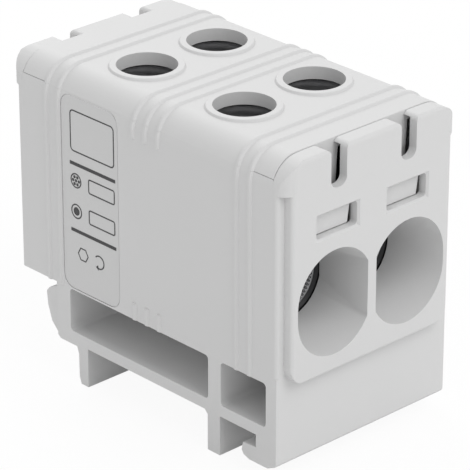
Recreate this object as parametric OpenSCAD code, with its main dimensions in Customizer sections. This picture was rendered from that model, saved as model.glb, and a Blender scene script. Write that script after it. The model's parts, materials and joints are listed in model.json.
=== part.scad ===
// Rail-mounted two-way through terminal: moulded housing, snap-in cover,
// one metal terminal body and four clamp screws. Sizes in millimetres.
// X runs along the mounting rail, Y along the wires, Z up.

/* [Housing] */
// Width along the rail
body_w = 26.8; // [25.6:0.1:34]
// Length along the wires, without the raised end panels
body_l = 43.1; // [42.1:0.1:52]
// Rail seat to the seam under the cover
seam_h = 31.6; // [30.6:0.1:36]
// Rail seat to the top of the cover
top_h = 33.9; // [33.9:0.1:39]
// Rail seat to the underside of the block
block_h = 6.95; // [6.4:0.05:7.4]
// Thickness of the end walls
end_wall = 2.1; // [1.8:0.05:2.3]
// Radius along the two long top edges
top_r = 3.5; // [2.5:0.1:4]
// Radius of the upright corners
corner_r = 0.5; // [0.3:0.1:0.8]

/* [End panels] */
// How far the end panels stand out
panel_out = 1.25; // [0.8:0.05:1.5]
// Inset of the end panels from the sides
panel_inset = 1.1; // [0.6:0.05:1.2]
// Rail seat to the ledge under the top tabs
ledge_h = 29.9; // [29:0.1:30.4]
// Rail seat to the top of the tabs
tab_top_h = 33.8; // [33.2:0.1:33.9]
// Radius of the upright corners of the top tabs
tab_r = 1.9; // [1.2:0.1:2.1]
// Radius of the upper corners of the top tabs
tab_top_r = 3.5; // [2:0.1:3.6]
// Radius along the outer edges of panels and tabs
edge_r = 0.45; // [0.3:0.05:0.9]
// Radius of the lower corners of the end panels
panel_r = 2.3; // [1:0.1:2.5]
// Width of the notches between the tabs
notch_w = 2.4; // [2:0.1:3.2]
// Rail seat to the bottom of the notches
notch_h = 29.1; // [28.4:0.1:30]
// Radius of the upper corners beside a notch
notch_r = 0.7; // [0.4:0.1:1.4]
// Thickness of the tabs at the notches
notch_wall = 1.1; // [0.9:0.1:1.7]

/* [Wire entries] */
// Spacing of the two wires and of the screws over them
pole_pitch = 10.8; // [10.4:0.1:11.4]
// Rail seat to the middle of the wires
wire_h = 15.4; // [15:0.1:16]
// Radius of the rounded halves of a funnel mouth
funnel_r = 5.72; // [5.4:0.01:5.8]
// Half length of the straight sides of a funnel mouth
funnel_half = 0.64; // [0.3:0.01:0.8]
// Distance of a funnel mouth's middle from the middle of the block
funnel_x = 5.68; // [5.6:0.01:5.9]
// Half width of the web between the funnels
funnel_web = 0.65; // [0.5:0.05:0.9]
// Radius of the funnels at the inner end
throat_r = 4.9; // [4.8:0.05:5.1]

/* [Latch windows] */
// Width of a latch window
latch_w = 6.2; // [5:0.1:6.6]
// Rail seat to the bottom of the latch windows
latch_h = 23.65; // [23:0.05:24]
// Height of a latch window
latch_t = 2.8; // [2.4:0.1:3.2]
// Gap beside a latch catch
latch_gap = 0.3; // [0.2:0.05:0.5]
// How much narrower a catch is at its tip, on each side
latch_taper = 0.35; // [0.2:0.05:0.5]
// Gap under a latch catch
latch_under = 0.05; // [0.03:0.01:0.2]
// Chamfer round the outside of a latch window
latch_edge = 0.25; // [0.1:0.05:0.3]
// Thickness of the end wall beside and under a latch window
latch_wall = 1.25; // [1.2:0.05:1.5]
// How far the wall is thinned beside and under a latch window
latch_side = 0.6; // [0.4:0.1:0.6]
// Half width of a latch's neck at the cover
neck_w = 1.9; // [1.5:0.1:2.1]
// Half width of a latch's neck where it widens to the catch
neck_low_w = 1.6; // [1.3:0.1:1.8]
// Width of the pocket behind a notch
neck_pocket = 7; // [5:0.5:8]
// How far a catch lies behind the face of the end panel
latch_deep = 1.05; // [0.8:0.05:1.15]

/* [Rail foot] */
// Height of the feet under the rail seat
foot_h = 5.05; // [4.8:0.05:5.2]
// Inner face of the front rail slot, from the front
slot_y = 3.2; // [3:0.05:3.3]
// Height of the front rail slot
slot_t = 1.6; // [1.2:0.05:1.7]
// Thickness of the foot beam
beam_t = 1.45; // [1.3:0.05:1.6]
// Thickness of the two feet that reach into the rail
leg_t = 2; // [1.6:0.1:2.2]
// Fillet between the near foot and the beam
leg_fillet = 0.5; // [0.2:0.1:1]
// Inset of the finger tab from the sides
finger_inset = 0.3; // [0.2:0.1:1.5]
// Rail width over its flanges
rail_w = 35; // [34.8:0.05:35.2]
// Lip width of the rail flanges
rail_lip = 5; // [4.8:0.05:5.1]

/* [Ribs and label field] */
// Height of the finger ribs
rib_t = 0.25; // [0.15:0.05:0.3]
// Width of a finger rib
rib_w = 0.75; // [0.6:0.05:1]
// Width of a sloping flank of a finger rib
rib_flank = 0.2; // [0.1:0.05:0.25]
// Middle of the rib pattern from the middle of the body
rib_mid = -0.45; // [-1.2:0.05:0]
// Pitch of the finger ribs
rib_pitch = 2.05; // [1.8:0.05:2.2]
// Middle of an end pair of ribs from the middle of the pattern
rib_pair = 15.8; // [15.2:0.1:16]
// Height of the rib stubs over and under the middle of the sides
rib_stub = 2.1; // [1.5:0.1:3]
// Depth of the label field
label_t = 0.15; // [0.1:0.05:0.2]
// Length of the label field
label_l = 9.8; // [8:0.1:10]
// Radius of the corners of the label field
label_r = 1.6; // [0.6:0.1:2]

/* [Cover] */
// Thickness of the cover
cover_t = 1.25; // [1:0.05:1.9]
// Radius of the screw access holes
access_r = 3.55; // [3.2:0.05:3.8]
// Outer radius of the raised rings
ring_r = 4.5; // [4.3:0.1:4.9]
// Height of the raised rings
ring_t = 0.3; // [0.2:0.05:0.4]
// Spacing of the screws along a wire
screw_pitch = 16; // [15:0.1:16.4]
// Side clearance of the cover between the tabs
cover_gap = 0.07; // [0.05:0.01:0.2]
// Gap of the seam beyond the end ribs
seam_gap = 0.07; // [0.05:0.01:0.2]

/* [Terminal body] */
// Width of the terminal body
term_w = 22.6; // [22:0.1:22.8]
// Length of the terminal body
term_l = 30.2; // [28.4:0.1:30.2]
// Height of the terminal body
term_t = 18; // [17:0.1:18.4]
// Radius of a wire bore
bore_r = 4.2; // [3.8:0.05:4.3]
// Chamfer of the wire bores
bore_c = 0.5; // [0.3:0.1:0.8]
// Clearance round the terminal body in its chamber
term_gap = 0.1; // [0.05:0.01:0.2]

/* [Clamp screws] */
// Radius of a clamp screw
screw_r = 4; // [3.8:0.05:4.4]
// Length of a clamp screw
screw_l = 9; // [8:0.1:9.4]
// Radial running clearance of a clamp screw
screw_fit = 0.05; // [0.03:0.01:0.09]
// Hexagon socket across the flats
hex_af = 5; // [4:0.5:6]
// Depth of the hexagon socket
hex_d = 4.2; // [3:0.1:5]
// Depth of the screw hole past the axis of the wire bore
screw_deep = 2.7; // [2.5:0.1:3]
// Height of the screw tip over the wire bore
screw_up = 0.4; // [0.2:0.1:0.8]

/* [Hidden] */
$fn = 48;
hw = body_w / 2;
hl = body_l / 2;
z0 = foot_h;                       // rail seat
zb = foot_h + block_h;             // underside of the block
zs = foot_h + seam_h;              // seam
zt = foot_h + top_h;               // cover top
zw = foot_h + wire_h;              // wire axis
px = hw - panel_inset;             // half width of an end panel
ye = hl + panel_out;               // outer face of an end panel
yi = ye - end_wall;                // inner face of an end wall
yf = term_l / 2 + term_gap;        // inner end of the funnels
term_z0 = zw - bore_r - 1.65;      // underside of the terminal body
term_z1 = term_z0 + term_t;
screw_z0 = zw + bore_r + screw_up;
latch_z0 = foot_h + latch_h;
latch_z1 = latch_z0 + latch_t;
tongue_z = zw + funnel_half + funnel_r + 1.2;   // floor of the space for the tongues
fy0 = -hl;                         // front face of the foot
yslot = fy0 + slot_y;
yleg = yslot + rail_lip + 0.85;     // foot behind the near rail lip
yfar = yslot + rail_w - rail_lip;  // inner edge of the far rail lip
win_z0 = z0 + beam_t;
win_z1 = zb - 0.05;
end_ribs = [for (e = [-1, 1]) for (k = [-0.5, 0.5]) rib_mid + e * rib_pair + k * rib_pitch];
mid_ribs = [for (k = [-1, 0, 1]) rib_mid + k * rib_pitch];
label_y = end_ribs[2] - rib_w / 2 - label_l / 2;   // beside the inner rib of the far pair

// ---------- helpers ----------
module rrect(w, h, r) {
  union() {
    square([w - 2 * r, h], center = true);
    square([w, h - 2 * r], center = true);
    for (sx = [-1, 1]) for (sy = [-1, 1])
      translate([sx * (w / 2 - r), sy * (h / 2 - r)]) circle(r = r);
  }
}

// cross-section shared by housing and cover, from zlow up: long top edges rounded
module shell_section(w, zlow, ztop, r) {
  intersection() {
    translate([-w / 2, zlow]) square([w, ztop - zlow]);
    union() {
      translate([-w / 2, 0]) square([w, ztop - r]);
      translate([-w / 2 + r, 0]) square([w - 2 * r, ztop]);
      for (s = [-1, 1]) translate([s * (w / 2 - r), ztop - r]) circle(r = r);
    }
  }
}

module along_y(y0, y1) {
  translate([0, y1, 0]) rotate([90, 0, 0]) linear_extrude(height = y1 - y0) children();
}

module along_x(w) {
  rotate([90, 0, 90]) translate([0, 0, -w / 2]) linear_extrude(height = w) children();
}

module block(x0, x1, y0, y1, za, zc) {
  translate([x0, y0, za]) cube([x1 - x0, y1 - y0, zc - za]);
}

module both_ends() {
  children();
  mirror([0, 1, 0]) children();
}

// ---------- housing ----------
module foot_profile() {
  polygon([
    [fy0, zb + 1], [fy0, z0 - 2.75], [fy0 + 0.25, z0 - 3.05], [fy0 + 1.4, z0 - 3.6],
    [fy0 + 4.3, z0 - 3.6], [fy0 + 5.2, z0 - 3.3], [fy0 + 5.55, z0 - 2.8],
    [fy0 + 5.35, z0 - slot_t - 0.15], [yslot, z0 - slot_t], [yslot, z0],
    [yleg, z0], [yleg, z0 - foot_h], [yleg + leg_t, z0 - foot_h],
    [yleg + leg_t, z0 - leg_fillet], [yleg + leg_t + leg_fillet, z0], [yfar - 1.65, z0], [yfar - 1.65, z0 - foot_h],
    [yfar - 0.35, z0 - foot_h], [yfar - 0.1, z0 - foot_h + 0.7],
    [yfar - 0.05, z0 - 1.2], [yfar + 0.25, z0 - 0.3], [yfar + 3.3, z0 - 0.3],
    [yfar + 3.65, z0], [yfar + 3.65, zb + 1]]);
}

// curved finger tab outside the far wall of the foot
module finger_profile() {
  polygon([
    [yfar + 1.5, z0 - 0.3], [yfar + 3.3, z0 - 0.3], [yfar + 4.2, z0 + 0.3],
    [yfar + 5.1, z0 + 1.2], [yfar + 5.75, z0 + 3.1], [yfar + 5.95, z0 + 4.85],
    [yfar + 5.5, z0 + 5.4], [yfar + 3.65, z0 + 6.3], [yfar + 1.5, z0 + 6.3]]);
}

module window_cut(ya, yb, za, zc, r) {
  along_x(body_w + 2) translate([(ya + yb) / 2, (za + zc) / 2]) rrect(yb - ya, zc - za, r);
}

// outline of the end walls seen from the side, outer edges rounded
module end_section(zlow, ztop) {
  translate([0, (zlow + ztop) / 2]) rrect(2 * ye, ztop - zlow, edge_r);
}

// raised panel round the funnels, lower corners rounded
module end_panel() {
  intersection() {
    along_y(-ye, -hl + 1) translate([0, zb + 20]) rrect(2 * px, 40, panel_r);
    linear_extrude(height = z0 + ledge_h + 0.5) rrect(2 * px, 2 * ye, edge_r);
    along_x(body_w) end_section(zb, zb + 60);
  }
}

// side walls over the ledge up to the seam, in the cover's cross-section
module upper_walls() {
  intersection() {
    along_y(-yi, yi) shell_section(body_w, z0 + ledge_h - 1, zt, top_r);
    block(-hw, hw, -yi, yi, zb, zs);
  }
}

// collar over the ledge, and the tabs that stand beside the cover
module end_tabs() {
  intersection() {
    translate([0, 0, z0 + ledge_h]) linear_extrude(height = 30)
      rrect(body_w, 2 * ye, tab_r);
    along_x(body_w) end_section(z0 - 10, z0 + tab_top_h);
    along_y(-ye, ye) shell_section(body_w, z0 + ledge_h, z0 + tab_top_h, tab_top_r);
    both_ends() block(-hw, hw, -ye, -yi, zb, zt);
  }
}

module disc_y(x, y, z, r) {
  translate([x, y, z]) rotate([-90, 0, 0]) cylinder(h = 0.02, r = r, $fn = 64);
}

// funnel: a mouth with round top and bottom and short straight sides, down to
// the round throat at the terminal body; the web stands between the two
module funnel(sx) {
  intersection() {
    hull() {
      for (k = [-1, 1])
        disc_y(sx * funnel_x, -ye - 0.02, zw + k * funnel_half, funnel_r);
      disc_y(sx * pole_pitch / 2, -yf, zw, throat_r);
    }
    translate([sx * (funnel_web + 10), 0, 0])
      block(-10, 10, -ye - 1, -yf + 1, zw - 9, zw + 9);
  }
}

// notch between two tabs: round bottom, upper corners rounded away
module notch_section() {
  zc = z0 + tab_top_h - notch_r;
  translate([0, z0 + notch_h + 5]) rrect(notch_w, 10, 0.42 * notch_w);
  difference() {
    translate([-notch_w / 2 - notch_r, zc]) square([notch_w + 2 * notch_r, 5]);
    for (s = [-1, 1]) translate([s * (notch_w / 2 + notch_r), zc]) circle(r = notch_r);
  }
}

// square window with chamfered outer edges
module latch_window() {
  half = latch_w / 2;
  along_y(-ye - 1, -yi + 0.5) translate([0, (latch_z0 + latch_z1) / 2])
    rrect(latch_w, latch_t, 0.4);
  intersection() {
    translate([0, 0, latch_z0 - 1]) linear_extrude(height = latch_t + 2) polygon([
      [-half - latch_edge, -ye], [half + latch_edge, -ye],
      [half, -ye + latch_edge], [-half, -ye + latch_edge]]);
    along_x(latch_w + 2) polygon([
      [-ye, latch_z0 - latch_edge], [-ye + latch_edge, latch_z0],
      [-ye + latch_edge, latch_z1], [-ye, latch_z1 + latch_edge]]);
  }
}

module end_cuts() {
  for (sx = [-1, 1]) {
    funnel(sx);
    translate([sx * pole_pitch / 2, 0, 0]) {
      latch_window();
      // the wall is thinner beside and under the window; the catch holds above it
      block(-latch_w / 2 - latch_side, latch_w / 2 + latch_side, -ye + latch_wall,
        -yi + 0.5, latch_z0 - latch_side, latch_z1);
      along_y(-ye - 1, -yi + 0.5) notch_section();
      // pocket inside the tabs, beside the neck of the latch
      block(-neck_pocket / 2, neck_pocket / 2, -ye + notch_wall, -yi + 0.5,
        latch_z1 + 0.8, z0 + tab_top_h - 0.4);
    }
  }
}

// a rib's section: along Y, and outwards from the surface
module rib_section() {
  polygon([[-rib_w / 2, -0.2], [rib_w / 2, -0.2], [rib_w / 2, 0],
    [rib_w / 2 - rib_flank, rib_t], [rib_flank - rib_w / 2, rib_t], [-rib_w / 2, 0]]);
}

// finger ribs right round the block at each place of the list ys: up each side,
// round the long edges, and across the top
module ribs(ys) {
  for (y = ys) {
    for (m = [0, 1]) mirror([m, 0, 0]) {
      translate([hw, y, zb]) linear_extrude(height = zt - top_r - zb)
        rotate(-90) rib_section();
      intersection() {
        translate([hw - top_r, y, zt - top_r]) rotate([90, 0, 0])
          rotate_extrude() translate([top_r, 0]) rotate(-90) rib_section();
        block(hw - top_r, hw + 1, y - 1, y + 1, zt - top_r, zt + 1);
      }
    }
    along_x(body_w - 2 * top_r) translate([y, zt]) rib_section();
  }
}

// the part of the ribs between two heights
module ribs_between(ys, za, zc) {
  intersection() {
    ribs(ys);
    block(-hw - 1, hw + 1, -hl, hl, za, zc);
  }
}

module base_housing() color([0.83, 0.83, 0.83])
  difference() {
    union() {
      translate([0, 0, zb]) linear_extrude(height = z0 + ledge_h - zb)
        rrect(body_w, body_l, corner_r);
      upper_walls();
      end_tabs();
      along_x(body_w) foot_profile();
      along_x(body_w - 2 * finger_inset) finger_profile();
      both_ends() end_panel();
      ribs_between(end_ribs, zb, zs);
      ribs_between(mid_ribs, zs - rib_stub, zs);
      ribs_between(mid_ribs, zb, zb + rib_stub);
    }
    // chamber of the terminal body
    block(-term_w / 2 - term_gap, term_w / 2 + term_gap, -term_l / 2 - term_gap,
      term_l / 2 + term_gap, term_z0, zs + 5);
    // space over the funnels for the cover's tongues
    block(-term_w / 2 - term_gap, term_w / 2 + term_gap, -yi, yi,
      tongue_z, zs + 5);
    both_ends() end_cuts();
    // windows of the foot
    window_cut(fy0 + 1.65, yleg - 0.15, win_z0, win_z1, 0.5);
    window_cut(yleg + leg_t - 0.1, yfar + 1.3, win_z0, win_z1, 0.5);
    // label field
    translate([-hw + label_t - 1, label_y, (zb + zs) / 2]) rotate([90, 0, 90])
      linear_extrude(height = 1) rrect(label_l, zs - zb - 0.3, label_r);
  }

// ---------- cover ----------
// latch: a neck down the inside of the end wall, a wider foot, and a catch that
// reaches into the window
module tongue(sx) {
  w = latch_w / 2 - latch_gap;
  wt = w - latch_taper;
  yc = -ye + latch_deep;
  yt = -yi + cover_gap;
  zl = latch_z0 + latch_under;
  zh = latch_z1 - 0.3;
  tip = 0.4;                       // corners at the tip of the catch
  translate([sx * pole_pitch / 2, 0, 0]) {
    along_y(yt, yt + 1.2) polygon([
      [-wt, zl], [wt, zl], [w, zh], [neck_low_w, zh + 2], [neck_w, zt - cover_t + 0.2],
      [-neck_w, zt - cover_t + 0.2], [-neck_low_w, zh + 2], [-w, zh]]);
    intersection() {
      along_x(2 * w) polygon([
        [yt + 0.1, zl], [yc + 0.15, zl], [yc, zl + 0.15],
        [yc, zh - 0.2], [yc + 0.2, zh], [yt + 0.1, zh]]);
      along_y(yc - 1, yt + 1) polygon([
        [tip - wt, zl], [wt - tip, zl], [wt - 0.3 * tip, zl + 0.3 * tip],
        [wt, zl + tip], [w, zh], [-w, zh], [-wt, zl + tip], [0.3 * tip - wt, zl + 0.3 * tip]]);
    }
  }
}

module top_cover() color([0.86, 0.86, 0.86])
  difference() {
    union() {
      difference() {
        along_y(-yi + cover_gap, yi - cover_gap)
          shell_section(body_w, zs, zt, top_r);
        along_y(-yi - 1, yi + 1)
          shell_section(term_w + 2 * term_gap, zs - 3, zt - cover_t, 1.2);
      }
      ribs_between(concat(end_ribs, mid_ribs), zs + 0.02, zt + 1);
      for (sx = [-1, 1]) for (sy = [-1, 1])
        translate([sx * pole_pitch / 2, sy * screw_pitch / 2, zt - 0.5])
          cylinder(h = 0.5 + ring_t, r1 = ring_r + 0.2, r2 = ring_r - 0.2);
      both_ends() for (sx = [-1, 1]) tongue(sx);
    }
    for (sx = [-1, 1]) for (sy = [-1, 1])
      translate([sx * pole_pitch / 2, sy * screw_pitch / 2, zt - cover_t - 1])
        cylinder(h = cover_t + 3, r = access_r);
    // the seam is open beyond the end ribs
    for (m = [0, 1]) mirror([m, 0, 0]) {
      block(term_w / 2, hw + 1, -yi, end_ribs[0] - rib_w / 2, zs - 1, zs + seam_gap);
      block(term_w / 2, hw + 1, end_ribs[3] + rib_w / 2, yi, zs - 1, zs + seam_gap);
    }
  }

// ---------- terminal body ----------
module terminal_body() color([0.55, 0.55, 0.56])
  difference() {
    block(-term_w / 2, term_w / 2, -term_l / 2, term_l / 2, term_z0, term_z1);
    for (sx = [-1, 1]) {
      translate([sx * pole_pitch / 2, -term_l / 2 - 1, zw]) rotate([-90, 0, 0])
        cylinder(h = term_l + 2, r = bore_r);
      for (e = [-1, 1])
        translate([sx * pole_pitch / 2, e * (term_l / 2 + 0.01), zw]) rotate([e * 90, 0, 0])
          cylinder(h = bore_c + 0.01, r1 = bore_r + bore_c + 0.01, r2 = bore_r);
      for (sy = [-1, 1])
        translate([sx * pole_pitch / 2, sy * screw_pitch / 2, zw - screw_deep])
          cylinder(h = term_z1 - zw + screw_deep + 1, r = screw_r + screw_fit);
    }
  }

// ---------- clamp screws ----------
module clamp_screw(sx, sy) color([0.3, 0.3, 0.31])
  translate([sx * pole_pitch / 2, sy * screw_pitch / 2, screw_z0])
    difference() {
      union() {
        cylinder(h = 0.8, r1 = screw_r - 0.8, r2 = screw_r);
        translate([0, 0, 0.8]) cylinder(h = screw_l - 1.3, r = screw_r);
        translate([0, 0, screw_l - 0.5]) cylinder(h = 0.5, r1 = screw_r, r2 = screw_r - 0.5);
      }
      translate([0, 0, screw_l - hex_d])
        cylinder(h = hex_d + 1, r = hex_af / sqrt(3), $fn = 6);
    }

module clamp_screw_fl() clamp_screw(-1, -1);
module clamp_screw_fr() clamp_screw(1, -1);
module clamp_screw_rl() clamp_screw(-1, 1);
module clamp_screw_rr() clamp_screw(1, 1);

base_housing();
top_cover();
terminal_body();
clamp_screw_fl();
clamp_screw_fr();
clamp_screw_rl();
clamp_screw_rr();
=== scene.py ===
import json
import math

import bmesh
import bpy
import numpy as np
from mathutils import Matrix, Vector


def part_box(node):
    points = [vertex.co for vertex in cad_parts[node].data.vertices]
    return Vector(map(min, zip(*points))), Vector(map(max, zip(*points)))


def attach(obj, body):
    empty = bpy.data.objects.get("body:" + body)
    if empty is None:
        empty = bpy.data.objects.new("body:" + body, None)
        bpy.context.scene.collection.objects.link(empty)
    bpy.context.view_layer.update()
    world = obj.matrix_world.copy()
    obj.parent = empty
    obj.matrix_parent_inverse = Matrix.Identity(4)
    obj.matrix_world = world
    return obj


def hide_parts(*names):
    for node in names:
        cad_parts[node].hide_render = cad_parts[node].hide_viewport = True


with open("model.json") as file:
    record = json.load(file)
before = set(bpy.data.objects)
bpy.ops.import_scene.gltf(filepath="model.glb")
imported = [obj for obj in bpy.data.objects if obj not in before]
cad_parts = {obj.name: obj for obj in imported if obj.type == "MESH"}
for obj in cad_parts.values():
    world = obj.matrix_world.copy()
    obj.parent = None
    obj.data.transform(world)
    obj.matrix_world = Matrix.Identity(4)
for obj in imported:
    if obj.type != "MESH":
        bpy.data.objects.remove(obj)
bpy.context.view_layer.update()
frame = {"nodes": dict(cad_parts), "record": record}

# ---------------------------------------------------------------- housing
# One injection moulding in light grey plastic: the two-wire block, its end
# panels with the wire funnels, and the foot that snaps on the rail. It comes
# out of a matt eroded mould with its outer edges left slightly round.
mm = 0.001
edge_round = 0.09 * mm
round_steps = 3
crease = math.radians(35)
hollow_turn = -crease / 6
flat_turn = math.radians(0.3)
weld = 0.001 * mm
least_edge = 1.2
room_share = 0.4
least_pull = 1e-9
plastic_grey = (0.66, 0.66, 0.66)


def moulded_plastic(name, colour):
    """Matt moulded plastic. Colour and roughness wander by about one part in a hundred
    with a soft noise, and a fine noise lifts the surface by a few microns of grain."""
    mat = bpy.data.materials.new(name)
    mat.use_nodes = True
    tree = mat.node_tree
    shader = tree.nodes["Principled BSDF"]
    shader.inputs["Specular IOR Level"].default_value = 0.3
    place = tree.nodes.new("ShaderNodeTexCoord")
    flow = tree.nodes.new("ShaderNodeTexNoise")
    flow.inputs["Scale"].default_value = 160.0
    flow.inputs["Detail"].default_value = 4.0
    tint = tree.nodes.new("ShaderNodeMapRange")
    tint.inputs["To Min"].default_value = 0.993
    tint.inputs["To Max"].default_value = 1.007
    shade = tree.nodes.new("ShaderNodeMix")
    shade.data_type = "RGBA"
    shade.blend_type = "MULTIPLY"
    shade.inputs["Factor"].default_value = 1.0
    shade.inputs["A"].default_value = (*colour, 1)
    rough = tree.nodes.new("ShaderNodeMapRange")
    rough.inputs["To Min"].default_value = 0.52
    rough.inputs["To Max"].default_value = 0.62
    grain = tree.nodes.new("ShaderNodeTexNoise")
    grain.inputs["Scale"].default_value = 5200.0
    grain.inputs["Detail"].default_value = 2.0
    relief = tree.nodes.new("ShaderNodeBump")
    relief.inputs["Strength"].default_value = 0.2
    relief.inputs["Distance"].default_value = 0.02 * mm
    link = tree.links.new
    link(place.outputs["Object"], flow.inputs["Vector"])
    link(place.outputs["Object"], grain.inputs["Vector"])
    link(flow.outputs["Fac"], tint.inputs["Value"])
    link(tint.outputs["Result"], shade.inputs["B"])
    link(shade.outputs["Result"], shader.inputs["Base Color"])
    link(flow.outputs["Fac"], rough.inputs["Value"])
    link(rough.outputs["Result"], shader.inputs["Roughness"])
    link(grain.outputs["Fac"], relief.inputs["Height"])
    link(relief.outputs["Normal"], shader.inputs["Normal"])
    return mat


def even_shading(mesh):
    """Shading normals. At each face corner, the normals of the faces round its point that
    lie within the crease angle of its own are added up by the square of their area, so that
    flat areas stay flat to their edges and the small faces between them turn evenly."""
    corners, faces = len(mesh.loops), len(mesh.polygons)
    vert = np.empty(corners, dtype=np.int32)
    area = np.empty(faces)
    normal = np.empty(faces * 3)
    count = np.empty(faces, dtype=np.int32)
    mesh.loops.foreach_get("vertex_index", vert)
    mesh.polygons.foreach_get("area", area)
    mesh.polygons.foreach_get("normal", normal)
    mesh.polygons.foreach_get("loop_total", count)
    order = np.argsort(vert, kind="stable")
    vert = vert[order]
    face = np.repeat(np.arange(faces), count)[order]
    normal = normal.reshape(-1, 3)[face]
    pull = normal * (area[face] / mm**2)[:, None] ** 2
    total = pull.copy()
    for step in range(1, np.bincount(vert).max()):
        near = (vert[step:] == vert[:-step])
        near &= (normal[step:] * normal[:-step]).sum(axis=1) > math.cos(crease)
        total[:-step] += near[:, None] * pull[step:]
        total[step:] += near[:, None] * pull[:-step]
    total += least_pull * normal
    total /= np.linalg.norm(total, axis=1)[:, None]
    settled = np.empty_like(total)
    settled[order] = total
    mesh.normals_split_custom_set(settled.tolist())


def one_skin(name, node, material, rounding):
    """A node's mesh as one skin: equal corners are joined and flat areas become one face.
    Outer edges sharper than the crease angle are rounded by w, where no edge that meets
    them turns inwards and each face has room: a rounding takes w / tan(angle / 2) of both
    edges of a corner between two sharp edges, w / sin(angle) of a plain edge beside one,
    and at most the room share of their length."""
    mesh = frame["nodes"][node].data.copy()
    mesh.name = name
    skin = bmesh.new()
    skin.from_mesh(mesh)
    bmesh.ops.remove_doubles(skin, verts=skin.verts, dist=weld)
    bmesh.ops.dissolve_limit(skin, angle_limit=flat_turn, verts=skin.verts,
                             edges=skin.edges, delimit=set())
    turn = {edge: edge.calc_face_angle_signed() for edge in skin.edges}
    sharp = {edge for edge in skin.edges if abs(turn[edge]) > crease}
    tight = {vert for vert in skin.verts
             if any(turn[edge] < hollow_turn or edge.calc_length() < least_edge * rounding
                    for edge in vert.link_edges)
             or sum(edge in sharp for edge in vert.link_edges) > 3}
    for face in skin.faces:
        for corner in face.loops:
            ends = [corner.edge, corner.link_loop_prev.edge]
            keen = [edge for edge in ends if edge in sharp]
            spare = [edge.calc_length() for edge in ends if len(keen) == 2 or edge not in sharp]
            angle = corner.calc_angle()
            share = math.tan(angle / 2) if len(keen) == 2 else math.sin(angle)
            if keen and not (corner.is_convex and room_share * min(spare) * share > rounding):
                tight.add(corner.vert)
    outer = [edge for edge in skin.edges
             if edge in sharp and turn[edge] > 0 and not tight.intersection(edge.verts)]
    bmesh.ops.bevel(skin, geom=outer, offset=rounding, offset_type="OFFSET",
                    segments=round_steps, profile=0.5, affect="EDGES", clamp_overlap=False)
    skin.to_mesh(mesh)
    skin.free()
    mesh.materials.clear()
    mesh.materials.append(material)
    mesh.shade_smooth()
    even_shading(mesh)
    piece = bpy.data.objects.new(name, mesh)
    bpy.context.scene.collection.objects.link(piece)
    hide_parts(node)
    return piece


housing_plastic = moulded_plastic("housing_plastic", plastic_grey)
housing = one_skin("housing_moulding", "base_housing", housing_plastic, edge_round)
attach(housing, "block")

# ------------------------------------------------------------- label field
# A thin foil laid in the shallow field on the left side, just below the wall's
# face, with a hair of gap all round. It is a shade darker than the housing.
rib_height = 0.25 * mm
field_depth = 0.15 * mm
field_length = 9.8 * mm
field_height = 24.35 * mm
field_corner = 1.6 * mm
field_mid = (9.05 * mm, 24.325 * mm)
foil_gap = 0.11 * mm
foil_thick = 0.1 * mm
foil_grey = (0.63, 0.63, 0.63)
fine_weld = 0.0002 * mm
side_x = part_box("base_housing")[0][0] + rib_height


def round_box(width, height, radius, steps=10):
    """Outline of a rectangle with round corners, anticlockwise: each corner is a quarter
    circle about a point one radius in from both sides."""
    quarter = np.linspace(0, math.pi / 2, steps)
    turn = np.concatenate([quarter + k * math.pi / 2 for k in range(4)])
    cx = np.repeat([1, -1, -1, 1], steps) * (width / 2 - radius)
    cy = np.repeat([1, 1, -1, -1], steps) * (height / 2 - radius)
    return np.stack([cx + radius * np.cos(turn), cy + radius * np.sin(turn)], axis=1)


def tablet(outline, low, high):
    """A flat tablet: the outline at two heights, walls between them, a face over each end."""
    n = len(outline)
    points = np.concatenate([np.column_stack([outline, np.full(n, low)]),
                             np.column_stack([outline, np.full(n, high)])])
    k = np.arange(n)
    walls = np.stack([k, (k + 1) % n, (k + 1) % n + n, k + n], axis=1).tolist()
    return points, walls + [k[::-1].tolist(), (k + n).tolist()]


def on_side(points, middle):
    """Side-view places to the block: right is -Y, up is Z, and height is outwards, -X."""
    return np.column_stack([side_x - points[:, 2], middle[0] - points[:, 0],
                            middle[1] + points[:, 1]])


def closed_piece(name, parts, material, body, smooth=False):
    """One mesh from several (points, faces) shells, with faces turned outwards."""
    starts = np.cumsum([0] + [len(points) for points, faces in parts])
    points = np.concatenate([part[0] for part in parts])
    faces = [[i + s for i in face] for s, part in zip(starts, parts) for face in part[1]]
    mesh = bpy.data.meshes.new(name)
    mesh.from_pydata(points.tolist(), [], faces)
    skin = bmesh.new()
    skin.from_mesh(mesh)
    bmesh.ops.remove_doubles(skin, verts=skin.verts, dist=fine_weld)
    bmesh.ops.recalc_face_normals(skin, faces=skin.faces)
    skin.to_mesh(mesh)
    skin.free()
    if smooth:
        mesh.shade_smooth()
        mesh.set_sharp_from_angle(angle=crease)
    mesh.materials.append(material)
    piece = bpy.data.objects.new(name, mesh)
    bpy.context.scene.collection.objects.link(piece)
    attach(piece, body)
    return piece


foil_shape = round_box(field_length - 2 * foil_gap, field_height - 2 * foil_gap,
                       field_corner - foil_gap)
foil_points, foil_faces = tablet(foil_shape, -field_depth, foil_thick - field_depth)
foil = closed_piece("label_foil", [(on_side(foil_points, field_mid), foil_faces)],
                    moulded_plastic("foil_plastic", foil_grey), "block")

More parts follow.
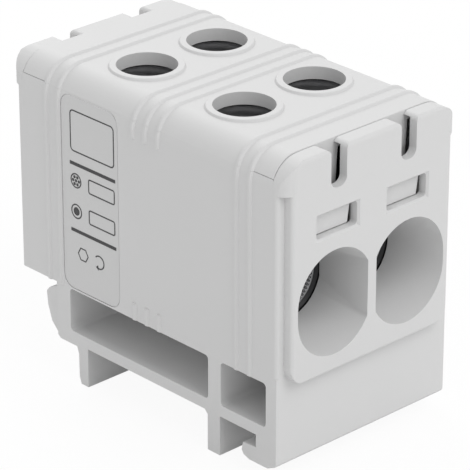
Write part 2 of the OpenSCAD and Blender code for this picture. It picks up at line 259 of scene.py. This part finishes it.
# ------------------------------------------------------------ label print
# Plain signs printed in dark grey ink: two bars that divide the field, marks
# for stranded and solid wire beside blank boxes, an empty frame at the top,
# and a hexagon key with a turning arrow at the foot.
ink_proud = 0.02 * mm
ink_sunk = 0.01 * mm
ink_foot = foil_thick - field_depth - ink_sunk
ink_height = foil_thick - field_depth + ink_proud
ink_line = 0.16 * mm
sign_shift = 0.45 * mm
bar = (7.8 * mm, 0.42 * mm, 0.03 * mm)
bar_heights = (28.15 * mm, 19.75 * mm)
top_frame = (7.4 * mm, 5.0 * mm, 0.5 * mm)
top_frame_up = 7.9 * mm
wire_ring = 0.85 * mm
wire_side = -2.9 * mm
wire_rows = {"stranded": 1.75 * mm, "solid": -2.1 * mm}
strand = 0.2 * mm
strand_circle = 0.5 * mm
core_share = 0.6
blank_box = (4.4 * mm, 1.7 * mm, 0.25 * mm)
blank_side = 1.5 * mm
key_up = -7.3 * mm
key_radius = 0.85 * mm
key_side = -1.9 * mm
arrow_radius = 0.8 * mm
arrow_side = 0.9 * mm
arrow_tip = np.array([(-0.32, 0.05), (0.05, 0.34), (0.14, -0.3)]) * mm


def wrapped_grid(rows, cols, closed):
    """Faces of a grid of points, row by row. Each row joins the next, and its last point
    joins its first; on a closed grid the last row joins the first one too."""
    i = np.arange(rows if closed else rows - 1)[:, None]
    j = np.arange(cols)[None, :]
    ni = (i + 1) % rows
    nj = (j + 1) % cols
    corners = np.stack([i * cols + j, i * cols + nj, ni * cols + nj, ni * cols + j], axis=2)
    return corners.reshape(-1, 4).tolist()


def stroke(path, width, closed):
    """A printed line: a flat strip carried along a path, half its width to each side of
    the path's own direction, from the foil up to the ink's height."""
    if closed:
        along = np.roll(path, -1, axis=0) - np.roll(path, 1, axis=0)
    else:
        along = np.gradient(path, axis=0)
    along /= np.linalg.norm(along, axis=1)[:, None]
    aside = np.column_stack([-along[:, 1], along[:, 0]]) * width / 2
    corners = [(path + aside, ink_foot), (path - aside, ink_foot),
               (path - aside, ink_height), (path + aside, ink_height)]
    n = len(path)
    points = np.stack([np.column_stack([p, np.full(n, z)]) for p, z in corners], axis=1)
    faces = wrapped_grid(n, 4, closed)
    if not closed:
        faces += [[0, 1, 2, 3], [4 * n - 1, 4 * n - 2, 4 * n - 3, 4 * n - 4]]
    return points.reshape(-1, 3), faces


def arc(radius, start, end, steps=40):
    """Points on a circle about the middle, from one angle in degrees to another."""
    turn = np.radians(np.linspace(start, end, steps))
    return radius * np.column_stack([np.cos(turn), np.sin(turn)])


def printed(shape, right, up):
    """Puts a shape on the field, right and up from the field's middle."""
    points, faces = shape
    return on_side(points + np.array([right, up, 0]), field_mid), faces


def solid_mark(outline):
    """A filled printed shape."""
    return tablet(outline, ink_foot, ink_height)


ring_path = arc(wire_ring, 0, 360, 49)[:-1]
strand_path = arc(strand, 0, 360, 17)[:-1]
strands = np.concatenate([[(0.0, 0.0)], arc(strand_circle, 0, 360, 7)[:-1]])
arrow_path = arc(arrow_radius, 140, -110, 36)
cores = {"stranded": [strand_path + middle for middle in strands],
         "solid": [core_share * ring_path]}

marks = [printed(solid_mark(round_box(*bar, 3)), sign_shift, z - field_mid[1])
         for z in bar_heights]
marks.append(printed(stroke(round_box(*top_frame, 6), ink_line, True), sign_shift,
                     top_frame_up))
for kind, up in wire_rows.items():
    marks.append(printed(stroke(ring_path, ink_line, True), sign_shift + wire_side, up))
    marks += [printed(solid_mark(core), sign_shift + wire_side, up) for core in cores[kind]]
    marks.append(printed(stroke(round_box(*blank_box, 6), ink_line, True),
                         sign_shift + blank_side, up))
marks.append(printed(stroke(arc(key_radius, 0, 360, 7)[:-1], ink_line, True),
                     sign_shift + key_side, key_up))
marks.append(printed(stroke(arrow_path, ink_line, False), sign_shift + arrow_side, key_up))
marks.append(printed(solid_mark(arrow_tip + arrow_path[-1]), sign_shift + arrow_side, key_up))


def printing_ink(name):
    """Dark grey ink: a fine noise leaves it slightly uneven, as a pad print is."""
    mat = bpy.data.materials.new(name)
    mat.use_nodes = True
    tree = mat.node_tree
    shader = tree.nodes["Principled BSDF"]
    shader.inputs["Roughness"].default_value = 0.6
    place = tree.nodes.new("ShaderNodeTexCoord")
    cover = tree.nodes.new("ShaderNodeTexNoise")
    cover.inputs["Scale"].default_value = 3000.0
    tone = tree.nodes.new("ShaderNodeValToRGB")
    tone.color_ramp.elements[0].color = (0.035, 0.035, 0.037, 1)
    tone.color_ramp.elements[1].color = (0.06, 0.06, 0.062, 1)
    tree.links.new(place.outputs["Object"], cover.inputs["Vector"])
    tree.links.new(cover.outputs["Fac"], tone.inputs["Fac"])
    tree.links.new(tone.outputs["Color"], shader.inputs["Base Color"])
    return mat


closed_piece("label_print", marks, printing_ink("dark_ink"), "block")

# ------------------------------------------------------------ terminal body
# A length of drawn aluminium, tin plated, with two bores for the wires and four screw holes.
# Its tin is coloured nearly black as painted shade, for the inside of the housing where
# little light reaches. It drops into the housing from above and the cover keeps it there.


def plated_metal(name, colour, low, high, scale):
    """Plated metal: one noise moves the roughness between two values and the colour by a
    tenth, and draws faint tool marks as a shallow relief."""
    mat = bpy.data.materials.new(name)
    mat.use_nodes = True
    tree = mat.node_tree
    shader = tree.nodes["Principled BSDF"]
    shader.inputs["Metallic"].default_value = 1.0
    shader.inputs["Specular Tint"].default_value = (0.3, 0.3, 0.3, 1)
    place = tree.nodes.new("ShaderNodeTexCoord")
    cloud = tree.nodes.new("ShaderNodeTexNoise")
    cloud.inputs["Scale"].default_value = scale
    cloud.inputs["Detail"].default_value = 4.0
    rough = tree.nodes.new("ShaderNodeMapRange")
    rough.inputs["To Min"].default_value = low
    rough.inputs["To Max"].default_value = high
    tone = tree.nodes.new("ShaderNodeValToRGB")
    tone.color_ramp.elements[0].color = (*[0.9 * c for c in colour], 1)
    tone.color_ramp.elements[1].color = (*[1.1 * c for c in colour], 1)
    relief = tree.nodes.new("ShaderNodeBump")
    relief.inputs["Strength"].default_value = 0.3
    relief.inputs["Distance"].default_value = 0.01 * mm
    link = tree.links.new
    link(place.outputs["Object"], cloud.inputs["Vector"])
    link(cloud.outputs["Fac"], rough.inputs["Value"])
    link(cloud.outputs["Fac"], tone.inputs["Fac"])
    link(cloud.outputs["Fac"], relief.inputs["Height"])
    link(rough.outputs["Result"], shader.inputs["Roughness"])
    link(tone.outputs["Color"], shader.inputs["Base Color"])
    link(relief.outputs["Normal"], shader.inputs["Normal"])
    return mat


# Near-black tin colour: painted shade for the unlit hollows of the housing, not the plating's
# own tone.
painted_shade_tin = plated_metal("painted_shade_tin", (0.035, 0.035, 0.036), 0.35, 0.5, 900.0)
metal_round = 0.06 * mm
terminal = one_skin("terminal_metal", "terminal_body", painted_shade_tin, metal_round)
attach(terminal, "block")

# --------------------------------------------------------------- bore grips
# The wire bores are knurled where no screw crosses them, with crossed grooves
# that bite into the strands: just inside each mouth and in the middle.
pole_half = 5.4 * mm
bore_axis_z = frame["record"]["mounts"][0]["pos_m"][2]
bore_radius = frame["record"]["mounts"][0]["dims"]["r_mm"] * mm
grip_height = 0.22 * mm
grip_pitch = 0.45 * mm
grip_proud = 0.01 * mm
grip_sunk = 0.05 * mm
mouth_grip = (12.15 * mm, 14.85 * mm)
middle_grip = (-3.9 * mm, 3.9 * mm)


def knurled_sleeve(side, y0, y1):
    """A sleeve inside a bore. Over the angle a and the length y the inner wall rises from
    the bore by the grip height times 1 - |sin p| |sin q|, where p and q run along crossed
    helices, n pitches round the bore; it fades out at both ends, and a plain outer wall
    just under the bore's surface closes it."""
    around = int(round(2 * math.pi * bore_radius / grip_pitch))
    a = np.linspace(0, 2 * math.pi, around * 5, endpoint=False)[None, :]
    y = np.linspace(y0, y1, int(round((y1 - y0) / grip_pitch * 5)) + 1)[:, None]
    turn = math.pi * (y - y0) / grip_pitch
    cut = np.abs(np.sin(around * a / 2 + turn)) * np.abs(np.sin(around * a / 2 - turn))
    fade = np.clip(np.minimum(y - y0, y1 - y) / (0.5 * grip_pitch), 0, 1)
    inner = bore_radius - grip_proud - grip_height * fade * (1 - cut)
    outer = np.full((2, a.shape[1]), bore_radius + grip_sunk)
    radius = np.concatenate([inner, outer])
    along = np.concatenate([y[:, 0], [y1, y0]])[:, None] * np.ones_like(a)
    points = np.stack([side * pole_half + radius * np.cos(a), along,
                       bore_axis_z + radius * np.sin(a)], axis=2)
    return points.reshape(-1, 3), wrapped_grid(*radius.shape, True)


worn_tin = plated_metal("worn_tin", (0.38, 0.38, 0.39), 0.15, 0.28, 2500.0)
spans = [(-mouth_grip[1], -mouth_grip[0]), middle_grip, mouth_grip]
for label, side in (("left", -1), ("right", 1)):
    closed_piece("bore_grip_" + label, [knurled_sleeve(side, *span) for span in spans],
                 worn_tin, "block", smooth=True)

# -------------------------------------------------------------- screw wells
# The terminal body stands up round each of its four tapped holes, almost to the
# underside of the cover, so that a raised screw still turns in its thread.
thread_pitch = 1.0 * mm
well_radius = 4.06 * mm
well_wall = 0.7 * mm
well_groove = 0.03 * mm
well_sunk = 0.05 * mm
well_below_cover = 0.35 * mm
cover_wall = 1.25 * mm
hole_ring = 0.3 * mm
well_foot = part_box("terminal_body")[1][2] - well_sunk
well_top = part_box("top_cover")[1][2] - hole_ring - cover_wall - well_below_cover


def screw_well(mid_x, mid_y):
    """A tapped tube. The inner radius grows outwards from the well radius by the groove
    times the squared sine of pi times the height over the pitch, less half the angle round
    the axis; a plain outer wall closes it."""
    a = np.linspace(0, 2 * math.pi, 72, endpoint=False)[None, :]
    z = np.linspace(well_foot, well_top, 50)[:, None]
    wave = np.sin(math.pi * ((z - well_foot) / thread_pitch) - a / 2) ** 2
    outer = np.full((2, a.shape[1]), well_radius + well_wall)
    radius = np.concatenate([well_radius + well_groove * wave, outer])
    height = np.concatenate([z[:, 0], [well_top, well_foot]])[:, None] * np.ones_like(a)
    points = np.stack([mid_x + radius * np.cos(a), mid_y + radius * np.sin(a), height], axis=2)
    return points.reshape(-1, 3), wrapped_grid(*radius.shape, True)


wells = []
for corner in ("fl", "fr", "rl", "rr"):
    low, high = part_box("clamp_screw_" + corner)
    wells.append(screw_well((low[0] + high[0]) / 2, (low[1] + high[1]) / 2))
cut_tin = plated_metal("cut_tin", (0.45, 0.45, 0.46), 0.4, 0.55, 1200.0)
closed_piece("terminal_wells", wells, cut_tin, "block", smooth=True)

# ------------------------------------------------------------- clamp screws
# Four socket set screws in black steel, threaded over their whole length, with
# a chamfered end that presses on the wire. They turn down from the top with a
# hexagon key.
thread_depth = 0.5 * mm
point_taper = 0.8 * mm
head_chamfer = 0.45 * mm
socket_flats = 5.0 * mm
socket_depth = 4.2 * mm
socket_lip = 0.15 * mm
socket_cone = 0.8 * mm
axis_ring = 0.02 * mm
turn_steps = 72
thread_rows = 86


def socket_screw(node, mid_x, mid_y):
    """A set screw from one profile carried round its axis. Up the side the radius is the
    outer radius less the thread depth times a triangle wave of height over pitch less the
    angle; the wave fades in over the first and last half pitch. On top the circle passes
    to a hexagon, flats / 2 / cos(angle from the flat's middle), and goes down the socket."""
    low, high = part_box(node)
    radius = (high[0] - low[0]) / 2
    bottom, top = low[2], high[2]
    a = np.arange(turn_steps)[None, :] * 2 * math.pi / turn_steps
    hexa = socket_flats / 2 / np.cos((a + math.pi / 6) % (math.pi / 3) - math.pi / 6)
    z = np.linspace(bottom + point_taper, top - head_chamfer, thread_rows)[:, None]
    wave = np.abs((((z - bottom) / thread_pitch - a / (2 * math.pi)) % 1.0) * 2 - 1)
    fade = np.clip(np.minimum(z - z[0], z[-1] - z) / (0.5 * thread_pitch), 0, 1)
    side_r = radius - thread_depth * fade * wave
    side_z = z * np.ones_like(a)
    flat = np.ones_like(a)
    foot = [(axis_ring * flat, bottom), ((radius - point_taper) * flat, bottom)]
    head = [((radius - head_chamfer) * flat, top), (hexa + socket_lip, top),
            (hexa, top - socket_lip), (hexa, top - socket_depth),
            (axis_ring * flat, top - socket_depth - socket_cone)]
    r = np.concatenate([ring for ring, h in foot] + [side_r] + [ring for ring, h in head])
    h = np.concatenate([np.full_like(a, h) for ring, h in foot] + [side_z]
                       + [np.full_like(a, h) for ring, h in head])
    points = np.stack([mid_x + r * np.cos(a), mid_y + r * np.sin(a), h], axis=2)
    rows, cols = r.shape
    first = np.arange(cols)
    ends = [first[::-1].tolist(), (first + (rows - 1) * cols).tolist()]
    return points.reshape(-1, 3), wrapped_grid(rows, cols, False) + ends


black_steel = plated_metal("black_steel", (0.09, 0.09, 0.095), 0.3, 0.45, 1500.0)
for corner in ("fl", "fr", "rl", "rr"):
    node = "clamp_screw_" + corner
    low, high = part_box(node)
    screw = closed_piece("socket_screw_" + corner,
                         [socket_screw(node, (low[0] + high[0]) / 2, (low[1] + high[1]) / 2)],
                         black_steel, "screw_" + corner, smooth=True)
    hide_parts(node)

# -------------------------------------------------------------------- cover
# A second moulding in the same plastic, with four rimmed holes for the key. Its
# four tongues go down inside the end walls and catch in the latch windows.
cover_plastic = moulded_plastic("cover_plastic", plastic_grey)
cover = one_skin("cover_moulding", "top_cover", cover_plastic, edge_round)
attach(cover, "block")

# ------------------------------------------------------------ studio table
# A plain white table. The camera sees it as white paper, and it still bounces
# light and takes the faint shadow of the feet.
table_half = 3.0
paper_share = 0.93


def seen_or_mirrored(tree):
    """1 where a ray comes from the camera, a mirror or a glass, and 0 for the rest."""
    ray = tree.nodes.new("ShaderNodeLightPath")
    either = tree.nodes.new("ShaderNodeMath")
    either.operation = "MAXIMUM"
    both = tree.nodes.new("ShaderNodeMath")
    both.operation = "MAXIMUM"
    tree.links.new(ray.outputs["Is Camera Ray"], either.inputs[0])
    tree.links.new(ray.outputs["Is Glossy Ray"], either.inputs[1])
    tree.links.new(either.outputs["Value"], both.inputs[0])
    tree.links.new(ray.outputs["Is Transmission Ray"], both.inputs[1])
    return both.outputs["Value"]


table_mesh = bpy.data.meshes.new("table")
table_corners = np.array([(-1, -1, 0), (1, -1, 0), (1, 1, 0), (-1, 1, 0)]) * table_half
table_mesh.from_pydata(table_corners.tolist(), [], [(0, 1, 2, 3)])
table = bpy.data.objects.new("table", table_mesh)
bpy.context.scene.collection.objects.link(table)
paper = bpy.data.materials.new("white_paper")
paper.use_nodes = True
paper_tree = paper.node_tree
paper_body = paper_tree.nodes["Principled BSDF"]
paper_body.inputs["Base Color"].default_value = (0.9, 0.9, 0.9, 1)
paper_body.inputs["Roughness"].default_value = 0.9
paper_glow = paper_tree.nodes.new("ShaderNodeEmission")
paper_glow.inputs["Strength"].default_value = 1.0
paper_part = paper_tree.nodes.new("ShaderNodeMath")
paper_part.operation = "MULTIPLY"
paper_part.inputs[1].default_value = paper_share
paper_mix = paper_tree.nodes.new("ShaderNodeMixShader")
paper_tree.links.new(seen_or_mirrored(paper_tree), paper_part.inputs[0])
paper_tree.links.new(paper_part.outputs["Value"], paper_mix.inputs["Fac"])
paper_tree.links.new(paper_body.outputs["BSDF"], paper_mix.inputs[1])
paper_tree.links.new(paper_glow.outputs["Emission"], paper_mix.inputs[2])
paper_tree.links.new(paper_mix.outputs["Shader"],
                     paper_tree.nodes["Material Output"].inputs["Surface"])
table_mesh.materials.append(paper)

# ------------------------------------------------------------- studio light
# An even white room, a large soft lamp in front and above, and a smaller one
# behind that draws the ribs. The left side falls slightly darker than the front.
room_level = 0.7
block_middle = Vector((0, 0, 20 * mm))
room = bpy.data.worlds.new("white_room")
bpy.context.scene.world = room
room.use_nodes = True
room_tree = room.node_tree
room_light = room_tree.nodes["Background"]
room_light.inputs["Color"].default_value = (1, 1, 1, 1)
room_light.inputs["Strength"].default_value = room_level
room_white = room_tree.nodes.new("ShaderNodeBackground")
room_white.inputs["Color"].default_value = (1, 1, 1, 1)
room_white.inputs["Strength"].default_value = 1.0
room_mix = room_tree.nodes.new("ShaderNodeMixShader")
room_tree.links.new(seen_or_mirrored(room_tree), room_mix.inputs["Fac"])
room_tree.links.new(room_light.outputs["Background"], room_mix.inputs[1])
room_tree.links.new(room_white.outputs["Background"], room_mix.inputs[2])
room_tree.links.new(room_mix.outputs["Shader"],
                    room_tree.nodes["World Output"].inputs["Surface"])


def soft_lamp(name, place, size, power):
    """A square area lamp at a place, turned to the middle of the block."""
    data = bpy.data.lights.new(name, "AREA")
    data.size = size
    data.energy = power
    lamp = bpy.data.objects.new(name, data)
    bpy.context.scene.collection.objects.link(lamp)
    away = Vector(place) - block_middle
    lamp.matrix_world = (Matrix.Translation(Vector(place))
                         @ away.to_track_quat("Z", "Y").to_matrix().to_4x4())
    return lamp


soft_lamp("front_lamp", (0.02, -0.46, 0.6), 0.4, 1.75)
soft_lamp("back_lamp", (0.25, 0.5, 0.38), 0.3, 1.2)

# ------------------------------------------------------------------- camera
# A long lens from the front left, a little above the block.
azimuth = math.radians(-43.321)
pitch = math.radians(25.216)
eye = Vector((-0.232581, -0.247396, 0.178764))
back = Vector((math.sin(azimuth) * math.cos(pitch), -math.cos(azimuth) * math.cos(pitch),
               math.sin(pitch)))
lens = bpy.data.cameras.new("camera")
lens.sensor_width = 36.0
lens.lens = 249.57
lens.clip_start = 0.01
lens.clip_end = 20.0
camera = bpy.data.objects.new("camera", lens)
bpy.context.scene.collection.objects.link(camera)
camera.matrix_world = (Matrix.Translation(eye)
                       @ back.to_track_quat("Z", "Y").to_matrix().to_4x4())
bpy.context.scene.camera = camera
bpy.context.scene.view_settings.view_transform = "Standard"
